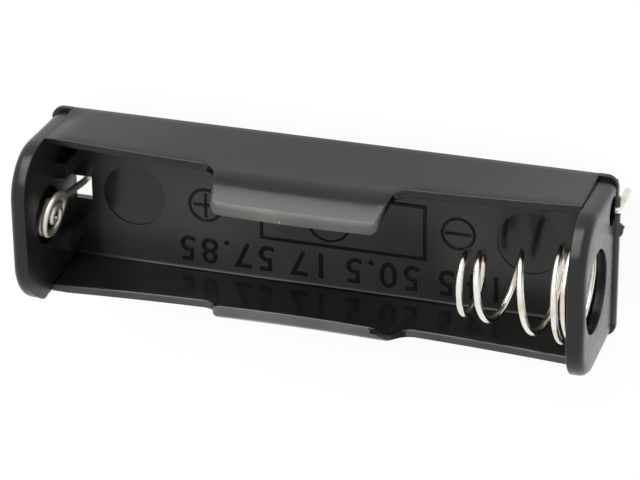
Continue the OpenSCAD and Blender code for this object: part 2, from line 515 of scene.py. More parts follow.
@dataclass(frozen=True)
class MouldedPlastic:
    """Black moulded plastic: flow lines along the mould, cloudy tone, polish and a few pale specks."""

    name: str
    dark: Colour = (0.0075, 0.0073, 0.0068)
    pale: Colour = (0.0150, 0.0147, 0.0140)
    speck: Colour = (0.30, 0.29, 0.27)
    roughness: tuple[float, float] = (0.20, 0.30)
    flow_scale: float = 900.0
    flow_bump: float = 0.03
    ripple_bump: float = 0.05
    speck_share: float = 0.12
    index: float = 1.5
    fade: Fade | None = None

    def _fade(self, n: Nodes, where: Node, colour: Socket, polish: Socket) -> list[Socket]:
        """Mixes the other tone and polish in along the fade's axis.

        Args:
            n: Nodes of the material.
            where: Texture coordinates.
            colour: Node and output that carry the plastic's colour.
            polish: Node and output that carry its roughness.

        Returns:
            The same two, faded.
        """
        split = n.add("SeparateXYZ")
        n.join(where, "Object", split, 0)
        low, high = self.fade.stops[0][0], self.fade.stops[-1][0]
        along = n.add("MapRange")
        n.join(split, self.fade.axis, along, "Value")
        along.inputs["From Min"].default_value, along.inputs["From Max"].default_value = low, high
        stops = [((at - low) / (high - low), (share,) * 3) for at, share in self.fade.stops]
        shares = n.ramp(along, "Result", *stops), "Color"
        return [n.blend(shares, colour, self.fade.tone), n.blend(shares, polish, (self.fade.roughness,) * 3)]

    def build(self) -> Material:
        """Builds the material.

        Returns:
            The finished material.
        """
        n = Nodes(self.name)
        where = n.add("TexCoord")
        stretch = n.add("Mapping", Scale=(0.12, 1, 1))
        n.join(where, "Object", stretch, "Vector")
        flow = n.texture("Noise", stretch, "Vector", Scale=self.flow_scale, Detail=6.0, Roughness=0.62)
        cloud = n.texture("Noise", where, "Object", Scale=170.0, Detail=3.0)
        tone = n.ramp(cloud, "Fac", (0.3, self.dark), (0.75, self.pale))
        cells = n.texture("Voronoi", where, "Object", Scale=800.0, Randomness=1.0)
        dot = n.ramp(cells, "Distance", (0.05, (1, 1, 1)), (0.09, (0, 0, 0)))
        few = 1 - self.speck_share
        rare = n.ramp(cells, "Color", (0.97 - self.speck_share, (0, 0, 0)), (few, (1, 1, 1)))
        mask = n.add("Math", operation="MULTIPLY")
        n.join(dot, "Color", mask, 0)
        n.join(rare, "Color", mask, 1)
        colour = n.blend((mask, 0), (tone, "Color"), self.speck)
        polish = n.gloss(flow, self.roughness), "Color"
        if self.fade:
            colour, polish = self._fade(n, where, colour, polish)
        n.join(*colour, n.shader, "Base Color")
        n.join(*polish, n.shader, "Roughness")
        bump = n.bump(flow, self.flow_bump, 0.0001)
        ripple = n.texture("Noise", where, "Object", Scale=330.0, Detail=2.0)
        n.join(n.bump(ripple, self.ripple_bump, 0.0003, bump), "Normal", n.shader, "Normal")
        n.shader.inputs["IOR"].default_value = self.index
        return n.material


@dataclass(frozen=True)
class NickelWire:
    """Bright nickel-plated wire with fine drawing lines and a warm tarnish in patches."""

    name: str
    bright: Colour = (0.84, 0.82, 0.78)
    tarnish: Colour = (0.66, 0.56, 0.40)
    roughness: tuple[float, float] = (0.14, 0.24)

    def build(self) -> Material:
        """Builds the material.

        Returns:
            The finished material.
        """
        n = Nodes(self.name)
        where = n.add("TexCoord")
        patches = n.texture("Noise", where, "Object", Scale=420.0, Detail=4.0)
        tone = n.ramp(patches, "Fac", (0.45, self.bright), (0.72, self.tarnish))
        n.join(tone, "Color", n.shader, "Base Color")
        grain = n.texture("Noise", where, "Object", Scale=3000.0, Detail=2.0)
        n.join(n.gloss(grain, self.roughness), "Color", n.shader, "Roughness")
        n.join(n.bump(grain, 0.03, 0.00002), "Normal", n.shader, "Normal")
        n.shader.inputs["Metallic"].default_value = 1.0
        return n.material


@dataclass(frozen=True)
class PaleCard:
    """Plain pale card that the camera sees as near white, with the object's shadow kept on it."""

    name: str = "pale_card"
    glow: float = 1.0
    shade_share: float = 0.12

    def build(self) -> Material:
        """Builds the material.

        Returns:
            The finished material.
        """
        n = Nodes(self.name)
        n.shader.inputs["Base Color"].default_value = (0.97, 0.97, 0.97, 1)
        n.shader.inputs["Roughness"].default_value = 0.9
        path = n.add("LightPath")
        seen, out = path, "Is Camera Ray"
        for ray in ("Is Glossy Ray", "Is Transmission Ray"):
            either = n.add("Math", operation="MAXIMUM")
            n.join(seen, out, either, 0)
            n.join(path, ray, either, 1)
            seen, out = either, 0
        share = n.add("Math", operation="MULTIPLY")
        n.join(seen, out, share, 0)
        share.inputs[1].default_value = 1 - self.shade_share
        glow = n.add("Emission", Strength=self.glow)
        mix = n.add("MixShader")
        n.join(share, 0, mix, 0)
        n.join(n.shader, "BSDF", mix, 1)
        n.join(glow, "Emission", mix, 2)
        n.join(mix, "Shader", n.output, "Surface")
        return n.material


# ---- the case


class Zone(Enum):
    """Parts of the moulding that have their own finish."""

    OUTSIDE = "outside"
    SIDE = "side"
    END = "end"
    INSIDE = "inside"
    END_INSIDE = "end_inside"
    FLOOR = "floor"
    POLISHED = "polished"
    CLIP = "clip"
    CLIP_TIP = "clip_tip"
    CLIP_ROOT = "clip_root"
    LEDGE = "ledge"
    LOWER_RIM = "lower_rim"


@dataclass
class MouldedCase:
    """The one-piece moulding: floor, drafted end walls, bowed side walls and their curled clips."""

    base_length: float = 57.4 * MM
    base_width: float = 16.9 * MM
    floor: float = 0.8 * MM
    ledge: float = 0.55 * MM
    ledge_reach: float = 0.35 * MM
    ledge_corner: float = 1.2 * MM
    ledge_step: Point2 = (28.5 * MM, 6.4 * MM)
    end_height: float = 13.05 * MM
    end_thickness: float = 1.65 * MM
    end_draft: float = 0.22 * MM
    end_corner: float = 5.0 * MM
    end_foot_inset: float = 0.45 * MM
    end_top_inset: float = 0.18 * MM
    end_round: float = 0.85 * MM
    rim_height: float = 7.45 * MM
    rim_bow: float = 0.77 * MM
    flank: float = 7.5 * MM
    foot_thickness: float = 1.15 * MM
    rim_thickness: float = 0.85 * MM
    wall_nominal: float = 0.95 * MM
    wall_round: Point2 = (0.12 * MM, 0.28 * MM)
    button_blend: Point2 = (24.8 * MM, 1.6 * MM)
    ledge_blend: Point2 = (0.5 * MM, 2.5 * MM)
    clip_radius: float = 8.0 * MM
    clip_height: float = 12.05 * MM
    clip_half_length: float = 8.42 * MM
    clip_swell: float = 0.072 * MM
    clip_wave: float = 3.8 * MM
    clip_swell_start: float = 0.3 * MM
    tab_lean: float = 0.28 * MM
    tab_fillet: float = 2.15 * MM
    tab_corner: float = 1.0 * MM
    hole_radius: float = 4.02 * MM
    seat_radius: float = 4.98 * MM
    seat_depth: float = 0.8 * MM
    seat_height: float = 7.88 * MM
    pin_slot: float = 0.86 * MM
    pin_y: float = 4.9 * MM
    groove: tuple[float, float, float] = (5.4 * MM, 2.43 * MM, 3.73 * MM)
    window: tuple[float, float, float, float] = (5.55 * MM, 1.9 * MM, 1.45 * MM, 1.08 * MM)
    button_seat: tuple[float, float, float, float] = (0.1 * MM, 7.6 * MM, 2.9 * MM, 0.72 * MM)
    square_hole: Box2 = (0.1 * MM, -1.08 * MM, 2.03 * MM, 1.36 * MM)
    post: tuple[float, float, float] = (1.25 * MM, 1.6 * MM, 5.4 * MM)
    post_y: float = 3.9 * MM
    dimples: tuple[Point2, Point2] = ((-20.15 * MM, 0.0), (20.15 * MM, 0.45 * MM))
    dimple_radius: float = 3.25 * MM
    dimple_depth: float = 0.12 * MM
    fillet: float = 0.4 * MM

    @property
    def half_width(self) -> float:
        """Half the width of the base."""
        return self.base_width / 2

    @property
    def end_outer(self) -> float:
        """Distance of an end wall's outer face from the middle."""
        return self.base_length / 2 - self.ledge_reach

    @property
    def end_inner(self) -> float:
        """Distance of an end wall's inner face from the middle, at its top."""
        return self.end_outer - self.end_thickness

    def _wall_placer(self, side: Side) -> Placer:
        """Function that bends the flat side view of a side wall into its bowed, curled shape.

        Args:
            side: Long side that the wall stands on.

        Returns:
            The placer of the wall.
        """

        def place(x: float, z: float, depth: float) -> Vector:
            """Point of the wall at a place of its side view and a depth in its thickness.

            Args:
                x: Place along the wall.
                z: Height in the side view.
                depth: 0 at the outer skin, 1 at the inner.

            Returns:
                The point in space.
            """
            bow = self.rim_bow * max(0.0, 1 - (x / self.end_inner) ** 2)
            lean = math.atan2(bow, self.flank)
            taper = min(1.0, max(0.0, z / self.flank))
            d = depth * (self.foot_thickness + (self.rim_thickness - self.foot_thickness) * taper)
            if z <= self.flank - d * math.sin(lean):
                y = self.half_width - (z + d * math.sin(lean)) * math.tan(lean) - d * math.cos(lean)
            else:
                middle_y = self.half_width - bow - self.clip_radius * math.cos(lean)
                middle_z = self.flank - self.clip_radius * math.sin(lean)
                radius = self.clip_radius - d
                y = middle_y + math.sqrt(max(0.0, radius**2 - (z - middle_z) ** 2))
                above = max(0.0, z - self.flank + self.clip_swell_start)
                y += self.clip_swell * (1 - math.cos(2 * math.pi * above / self.clip_wave))
            near_button = min(1.0, max(0.0, (-x - self.button_blend[0]) / self.button_blend[1]))
            above_ledge = min(1.0, max(0.0, (z - self.ledge_blend[0]) / self.ledge_blend[1]))
            blend = near_button**2 * (3 - 2 * near_button) * above_ledge * (1 - depth)
            widening = (self.end_foot_inset - self.end_top_inset) / (self.end_height - self.end_corner)
            end_side = self.half_width - self.end_foot_inset + widening * z
            y -= blend * max(0.0, y - end_side - 0.02 * MM)
            return Vector((x, side.value * y, z))

        return place

    def _end_placer(self, side: Side) -> Placer:
        """Function that stands the flat outline of an end wall up at its end, with the inner face drafted.

        Args:
            side: End that the wall stands at.

        Returns:
            The placer of the end wall.
        """

        def place(y: float, z: float, depth: float) -> Vector:
            """Point of the end wall at a place of its outline and a depth."""
            inner = self.end_inner - self.end_draft * (1 - z / self.end_height)
            return Vector((side.value * (self.end_outer - depth * (self.end_outer - inner)), y, z))

        return place

    def _wall_outline(self) -> list[Point2]:
        """Side view of a side wall: rim line, filleted clip roots and round clip corners."""
        half = self.end_inner - 0.1 * MM
        root = self.clip_half_length + self.tab_lean
        tip = self.clip_half_length - self.tab_corner
        right = [(half, 0.0), (half, self.rim_height)]
        right += arc((root + self.tab_fillet, self.rim_height + self.tab_fillet), self.tab_fillet, 270, 180)
        right += arc((tip, self.clip_height - self.tab_corner), self.tab_corner, 0, 90)
        return right + [(-x, z) for x, z in reversed(right)]

    def _end_outline(self) -> list[Point2]:
        """Outline of an end wall: a little wider upwards, with large round upper corners."""
        foot, top = self.half_width - self.end_foot_inset, self.half_width - self.end_top_inset
        corner = top - self.end_corner, self.end_height - self.end_corner
        right = [(foot, 0.0), (foot + 0.02 * MM, 0.5 * MM)] + arc(corner, self.end_corner, 0, 90, 24)
        return right + [(-y, z) for y, z in reversed(right)]

    def _plates(self) -> list[RoundedPlate]:
        """Every rounded plate of the moulding."""
        plates = []
        for side in Side:
            plates.append(
                RoundedPlate(
                    self._wall_outline(), self.wall_nominal, self._wall_placer(side), *self.wall_round,
                    share=lambda p: 1 + 1.8 * min(1.0, max(0.0, (p[1] - 8.5 * MM) / (2.5 * MM))),
                )
            )
            holes = [circle((0, self.seat_height), self.hole_radius, 72)] if side is Side.PLUS else []
            plates.append(
                RoundedPlate(
                    self._end_outline(), self.end_thickness, self._end_placer(side), self.end_round,
                    0.14 * MM, holes, hole_round=0.12 * MM, spacing=2 * MM, round_steps=6,
                    share=lambda p: min(1.0, max(0.02, p[1] / (0.5 * MM))),
                )
            )
            plates.append(self._ledge(side))
        return plates

    def _ledge(self, side: Side) -> RoundedPlate:
        """Thin ledge round the foot of one end wall.

        Args:
            side: End that the ledge lies at.

        Returns:
            The ledge as a plate.
        """
        inner = self.end_inner - 0.2 * MM
        x, y, r = self.base_length / 2, self.half_width, self.ledge_corner
        outline = [(inner, -y)] + arc((x - r, r - y), r, -90, 0, 8)
        if side is Side.PLUS:
            step_x, step_y = self.ledge_step
            outline += [(x, step_y - 0.3 * MM), (step_x, step_y)] + arc((step_x - r, y - r), r, 0, 90, 8)
        else:
            outline += arc((x - r, y - r), r, 0, 90, 8)
        outline.append((inner, y))

        def place(px: float, py: float, depth: float) -> Vector:
            """Point of the ledge, with its top as the outer skin."""
            return Vector((side.value * px, py, self.ledge * (1 - depth)))

        return RoundedPlate(outline, self.ledge, place, 0.07 * MM, 0.05 * MM, spacing=3 * MM)

    def _cuts(self) -> list[Object]:
        """Solids that are cut out of the moulding."""
        inner = self.end_inner
        depth = inner + self.seat_depth
        seat = circle((0, self.seat_height), self.seat_radius, 72)
        cuts = [prism(seat, inner - 1 * MM, depth, along_x, "seat")]
        reach, low, high = self.groove
        cuts.append(prism(box((0, reach), (low, high)), inner - 1 * MM, depth, along_x, "groove"))
        y, z, radius, foot = self.window
        start = math.degrees(math.asin((foot - z) / radius))
        window = arc((y, z), radius, start, 180 - start, 30)
        cuts.append(prism(window, inner - 1 * MM, self.end_outer + 1 * MM, along_x, "window"))
        slot = self.pin_y - self.pin_slot / 2, self.pin_y + self.pin_slot / 2
        for reach, top in ((0.96 * MM, 2 * MM), (3 * MM, 0.75 * MM)):
            cuts.append(prism(box((inner, inner + reach), slot), -1 * MM, top, along_z, "slot"))
        y, z, radius, sunk = self.button_seat
        cuts.append(prism(circle((y, z), radius, 56), 1 * MM - inner, -inner - sunk, along_x, "button_seat"))
        left, low, right, high = self.square_hole
        square = box((left - inner, right - inner), (low, high))
        cuts.append(prism(square, -1 * MM, 2 * MM, along_z, "square_hole"))
        for middle in self.dimples:
            dimple = circle(middle, self.dimple_radius, 72)
            cuts.append(prism(dimple, self.floor - self.dimple_depth, 2 * MM, along_z, "dimple"))
        return cuts

    def _extras(self) -> list[Object]:
        """Posts beside the button, the moulding's gate nub and lump of flash, and the corner fillets."""
        end = self.base_length / 2
        reach, width, top = self.post
        extras = []
        for y in (-self.post_y, self.post_y):
            foot = box((-self.end_inner - 0.4 * MM, reach - self.end_inner), (y - width / 2, y + width / 2))
            extras.append(prism(foot, 0.1 * MM, top, along_z, "post"))
        nub = [(-0.2, 2.2), (0.15, 2.27), (0.33, 2.6), (0.28, 2.85), (0.45, 3.15), (0.02, 3.5), (-0.2, 3.5)]
        outline = [(end + x * MM, y * MM) for x, y in nub]
        extras.append(prism(outline, 0.02 * MM, self.ledge - 0.1 * MM, along_z, "gate_nub"))
        lump = bmesh.new()
        RoundedPlate(
            circle((-7.55 * MM, 8.85 * MM), 0.95 * MM, 32), 0.8 * MM,
            lambda y, z, depth: Vector((-self.end_inner - 0.75 * MM + depth * 0.8 * MM, y, z)),
            0.3 * MM, 0.3 * MM, spacing=1 * MM,
        ).add_to(lump)
        extras.append(finish_mesh(lump, "lump"))
        for side in Side:
            extras.append(self._corner_fillet(side))
        return extras

    def _corner_fillet(self, side: Side) -> Object:
        """Concave fillet where the floor meets one side wall.

        Args:
            side: Long side of the fillet.

        Returns:
            A closed object that reaches into the floor and the wall.
        """
        wall, low = self.half_width - self.foot_thickness, 0.3 * MM
        corner = wall - self.fillet, self.floor + self.fillet
        buried = wall + 0.5 * MM
        curve = arc(corner, self.fillet, 270, 360, 8)
        outline = [(buried, corner[1])] + curve[::-1] + [(corner[0], low), (buried, low)]
        half = self.end_inner - 0.5 * MM
        return prism([(side.value * y, z) for y, z in outline], -half, half, along_x, "fillet")

    def dress(self, case: Object, finishes: dict[Zone, Material]) -> None:
        """Gives each face of the moulding the finish of its zone.

        Args:
            case: The finished moulding.
            finishes: Material of each zone.
        """
        case.data.materials.clear()
        zones = list(finishes)
        for zone in zones:
            case.data.materials.append(finishes[zone])
        for face in case.data.polygons:
            face.material_index = zones.index(self._zone(face.center, face.normal))

    def _clip_zone(self, middle: Vector, normal: Vector) -> Zone | None:
        """Zone of a face above the rim line, or none where the clip has no finish of its own.

        Args:
            middle: Middle of the face.
            normal: Outward normal of the face.

        Returns:
            The zone, or None.
        """
        above = middle.z - self.rim_height
        outward = min(1.0, max(0.0, (-middle.y - 5.15 * MM) / (0.65 * MM)))
        beyond = middle.x > self.clip_half_length - (0.95 - 0.8 * outward) * MM
        if beyond and middle.y < 0 and -0.35 < normal.y < 0.6 and above > 0.06 * MM:
            return Zone.CLIP_ROOT
        if normal.z > 0.55 and middle.z > self.clip_height - 0.45 * MM:
            return Zone.CLIP_TIP
        if (abs(normal.x) > 0.35 or middle.y * normal.y > 0) and above > 0.1 * MM:
            return Zone.CLIP
        return None

    def _zone(self, middle: Vector, normal: Vector) -> Zone:
        """Zone that a face of the moulding lies in.

        Args:
            middle: Middle of the face.
            normal: Outward normal of the face.

        Returns:
            The zone.
        """
        along, across = abs(middle.x), abs(middle.y)
        within = along < self.end_inner + self.seat_depth and across < self.half_width - 0.2 * MM
        if within and normal.z > 0.9 and middle.z < self.floor + 0.05 * MM:
            return Zone.FLOOR if middle.z > self.floor - 0.01 * MM else Zone.POLISHED
        if along > self.end_outer and normal.z > 0.5:
            return Zone.LEDGE
        if middle.y < 0 and normal.z > 0.6 and abs(middle.z - self.rim_height) < 0.3 * MM:
            return Zone.LOWER_RIM
        if abs(normal.x) > 0.9 and along > self.end_inner - 1.5 * MM:
            return Zone.END if middle.x * normal.x > 0 else Zone.END_INSIDE
        if middle.z > self.rim_height - 0.1 * MM and along < self.end_inner - 3 * MM:
            clip = self._clip_zone(middle, normal)
            if clip:
                return clip
        inward = middle.x * normal.x + middle.y * normal.y < 0
        in_bay = across < 6 * MM and along < self.end_inner and middle.z < self.rim_height
        if within and (inward or in_bay) and normal.z < 0.6:
            return Zone.INSIDE
        return Zone.SIDE if abs(normal.y) > 0.9 and along < self.end_inner else Zone.OUTSIDE

    def build(self) -> Object:
        """Builds the moulding.

        Returns:
            One closed mesh object.
        """
        half, width = self.end_inner - 0.1 * MM, self.half_width - 0.4 * MM
        case = prism(box((-half, half), (-width, width)), 0, self.floor, along_z, "moulded_case")
        for plate in self._plates():
            mesh = bmesh.new()
            plate.add_to(mesh)
            combine(case, [finish_mesh(mesh, "plate")], "UNION")
        combine(case, self._extras(), "UNION")
        combine(case, self._cuts(), "DIFFERENCE")
        smooth_by_angle(case, 28)
        return case


def smooth_by_angle(piece: Object, degrees: float) -> None:
    """Shades a mesh smooth, with its corners above an angle kept sharp."""
    piece.data.shade_smooth()
    piece.data.set_sharp_from_angle(angle=math.radians(degrees))


# ---- wires


def smooth_rows(rows: Sequence[Sequence[float]], t: float) -> list[float]:
    """Smooth curve through rows that stand one step apart.

    Args:
        rows: Rows of values.
        t: Place between the rows, in steps.

    Returns:
        One row of values.
    """
    i = min(max(math.floor(t), 0), len(rows) - 2)
    u = t - i
    before, after = rows[max(i - 1, 0)], rows[min(i + 2, len(rows) - 1)]
    out = []
    for a, b, c, d in zip(before, rows[i], rows[i + 1], after):
        out.append(
            b + u * (c - a) / 2 + u * u * (a - 2.5 * b + 2 * c - d / 2) + u**3 * (1.5 * (b - c) + (d - a) / 2)
        )
    return out


def bend(before: Vector, corner: Vector, after: Vector, steps: int = 8) -> list[Vector]:
    """Points of a bend that turns round a corner.

    Args:
        before: Start of the bend.
        corner: Corner that it cuts.
        after: End of the bend.
        steps: Number of chords.

    Returns:
        The points from start to end, both included.
    """
    points = []
    for i in range(steps + 1):
        u = i / steps
        points.append((1 - u) ** 2 * before + 2 * u * (1 - u) * corner + u * u * after)
    return points


def wire_tree(material: Material) -> GeometryNodeTree:
    """Geometry node tree that sweeps a round wire along a path of edges.

    Args:
        material: Finish of the wire.

    Returns:
        The tree, with the inputs "Wire radius", "Step" and "Sides".
    """
    tree = bpy.data.node_groups.new("swept_wire", "GeometryNodeTree")
    face = tree.interface
    inputs = ("Geometry", "Geometry"), ("Wire radius", "Float"), ("Step", "Float"), ("Sides", "Int")
    for label, kind in inputs:
        face.new_socket(label, in_out="INPUT", socket_type="NodeSocket" + kind)
    face.new_socket("Geometry", in_out="OUTPUT", socket_type="NodeSocketGeometry")
    add = tree.nodes.new
    source, sink = add("NodeGroupInput"), add("NodeGroupOutput")
    curve = add("GeometryNodeMeshToCurve")
    spaced = add("GeometryNodeResampleCurve")
    spaced.mode = "LENGTH"
    ring = add("GeometryNodeCurvePrimitiveCircle")
    sweep = add("GeometryNodeCurveToMesh")
    sweep.inputs["Fill Caps"].default_value = True
    smooth = add("GeometryNodeSetShadeSmooth")
    realize = add("GeometryNodeRealizeInstances")
    finish = add("GeometryNodeSetMaterial")
    finish.inputs["Material"].default_value = material
    links = (
        (source, "Geometry", curve, "Mesh"),
        (curve, "Curve", spaced, "Curve"),
        (source, "Step", spaced, "Length"),
        (source, "Wire radius", ring, "Radius"),
        (source, "Sides", ring, "Resolution"),
        (spaced, "Curve", sweep, "Curve"),
        (ring, "Curve", sweep, "Profile Curve"),
        (sweep, "Mesh", smooth, "Geometry"),
        (smooth, "Geometry", realize, "Geometry"),
        (realize, "Geometry", finish, "Geometry"),
        (finish, "Geometry", sink, "Geometry"),
    )
    for start, out, end, into in links:
        tree.links.new(start.outputs[out], end.inputs[into])
    return tree


def sweep_wire(name: str, path: Sequence[Vector], radius: float, tree: GeometryNodeTree) -> Object:
    """Sweeps a wire along a path.

    Args:
        name: Name of the piece.
        path: Points of the wire's middle line.
        radius: Radius of the wire.
        tree: Tree made by wire_tree.

    Returns:
        A closed mesh object.
    """
    line = bpy.data.meshes.new(name)
    line.from_pydata([tuple(p) for p in path], [(i, i + 1) for i in range(len(path) - 1)], [])
    piece = new_object(name, line)
    step = piece.modifiers.new("wire", "NODES")
    step.node_group = tree
    values = {"Wire radius": radius, "Step": 0.16 * MM, "Sides": 20}
    for item in tree.interface.items_tree:
        if item.item_type == "SOCKET" and item.in_out == "INPUT" and item.name in values:
            step[item.identifier] = values[item.name]
    solid = solid_of(piece)
    piece.modifiers.remove(step)
    piece.data = solid
    bpy.data.meshes.remove(line)
    return piece


@dataclass
class WireSizes:
    """What the two contacts share."""

    radius: float = 0.35 * MM
    pin_reach: float = 4.2 * MM
    steps_per_turn: int = 60


@dataclass
class CoiledContact:
    """The negative contact: a coil that widens towards its seat, with a tail and a pin."""

    seat_x: float
    wire: WireSizes = field(default_factory=WireSizes)
    seat_height: float = 7.88 * MM
    pin: Point2 = (28.4 * MM, 4.9 * MM)
    free_turns: float = 7 / 24
    turns: float = 4.5

    def _rows(self) -> list[tuple[float, float, float]]:
        """X, radius and sideways sag of the coil, one row for each turn."""
        rows = [(15.95, 3.0, -0.8), (17.8, 3.2, -0.8), (22.2, 3.9, -0.6)]
        rows += [(25.45, 4.6, -0.45), (26.33, 4.6, 0.0)]
        return [(x * MM, r * MM, y * MM) for x, r, y in rows] + [(self.seat_x + 0.68 * MM, 4.6 * MM, 0.0)]

    def coil_path(self) -> list[Vector]:
        """Middle line of the coil, from its free end to its seat."""
        points = []
        count = round((self.free_turns + self.turns) * self.wire.steps_per_turn)
        for i in range(count + 1):
            t = i / self.wire.steps_per_turn - self.free_turns
            x, radius, sag = smooth_rows(self._rows(), t)
            a = 2 * math.pi * t
            points.append(Vector((x, sag - radius * math.sin(a), self.seat_height + radius * math.cos(a))))
        return points

    def tail_path(self) -> list[Vector]:
        """Middle line of the tail, from the seat to the pin's tip."""
        start = self.coil_path()[-1]
        px, y = self.pin
        z, x = start.z, self.seat_x

        def at(along: float, height: float) -> Vector:
            """Point in the plane of the pin."""
            return Vector((along, y, height))

        path = [start, Vector((x, y / 3, z))]
        path += bend(Vector((x, y - 1.1 * MM, z)), at(x, z), at(x, z - 1.1 * MM))
        path += bend(at(x, 1.05 * MM), at(x, 0.36 * MM), at((x + px) / 2, 0.36 * MM), 5)
        path += bend(at(px - 0.3 * MM, 0.1 * MM), at(px, -0.1 * MM), at(px, -0.6 * MM), 5)
        return path + [at(px, -self.wire.pin_reach)]


@dataclass
class ButtonContact:
    """The positive contact: a flat spiral button, a turn behind it, a tail and a pin."""

    wire: WireSizes = field(default_factory=WireSizes)
    middle: tuple[float, float, float] = (-25.95 * MM, 0.1 * MM, 7.6 * MM)
    turn: float = 0.15
    nod: float = 0.1
    start_angle: float = -140.0
    rows_per_turn: int = 4
    pin: Point2 = (-25.4 * MM, 0.85 * MM)

    def _rows(self) -> list[tuple[float, float]]:
        """Radius of the wire and how far it lies behind the button's front, every quarter turn."""
        front = [(0.42, 0), (0.6, 0), (0.8, 0), (1, 0), (1.25, 0), (1.95, 0), (2.1, 0)]
        behind = [(2.1, 0), (2.1, 0.43), (1.76, 0.76), (1.41, 0.48), (1.3, 1)]
        return [(r * MM, back * MM) for r, back in front + behind]

    def _point(self, t: float) -> Vector:
        """Point of the wire after t turns from the button's middle.

        Args:
            t: Number of turns.

        Returns:
            The point on the middle line.
        """
        radius, back = smooth_rows(self._rows(), t * self.rows_per_turn)
        a = math.radians(360 * t + self.start_angle)
        x, y, z = self.middle
        lean = self.turn * radius * math.sin(a) - self.nod * radius * math.cos(a)
        return Vector((x - back + lean, y + radius * math.sin(a), z + radius * math.cos(a)))

    def path(self) -> list[Vector]:
        """Middle line of the whole wire, from the button's middle to the pin's tip."""
        steps = self.wire.steps_per_turn
        turns = (len(self._rows()) - 1) / self.rows_per_turn
        points = [self._point(i / steps) for i in range(round(turns * steps) + 1)]
        px, py = self.pin
        knee = Vector((self.middle[0] - 0.16 * MM, py, 4.9 * MM))
        foot = Vector((px, py, 0.6 * MM))
        leave = points[-1] + Vector((-0.12, -0.17, -0.49)) * MM
        points += bend(leave, Vector((self.middle[0] - 0.72 * MM, py, 5.5 * MM)), knee)
        points += [knee + (foot - knee) / 2]
        points += bend(foot + Vector((-0.05, 0, 0.5)) * MM, foot, foot - Vector((0, 0, 1.2)) * MM)
        return points + [Vector((px, py, -self.wire.pin_reach))]


# ---- floor marks


